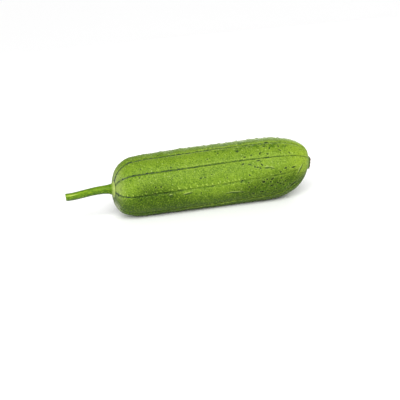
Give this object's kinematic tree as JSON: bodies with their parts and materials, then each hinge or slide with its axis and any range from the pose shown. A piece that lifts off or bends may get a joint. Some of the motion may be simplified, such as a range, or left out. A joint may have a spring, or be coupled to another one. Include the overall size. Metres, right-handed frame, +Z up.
{
  "type": "sponge gourd",
  "caption": "Whole ripe-green sponge gourd lying on its side: a long blunt fruit with dark lengthwise furrows and low warts, its cut stalk, and the dry stub of its flower.",
  "frame": {"origin": "on the surface that the fruit lies on, under the middle of the fruit", "axes": "+X along the fruit from the stalk to the blossom end, -Y towards the side that faces the viewer, +Z up"},
  "size_m": [0.2879, 0.0738, 0.0713],
  "materials": {
    "skin": "living plant skin: yellow-green mottled with fine pale flecks, dark green broken lines in the furrows, small dark pits and low warts, slightly waxy",
    "stalk": "living green stem with five soft ridges, a pale flared collar and a fibrous pale cut end",
    "dry_flower": "dry dark brown-green flower remnant, matte, worn at its rim"
  },
  "bodies": {
    "root": {"fruit": "skin", "stalk": "stalk", "blossom_stub": "dry_flower"}
  },
  "joints": []
}
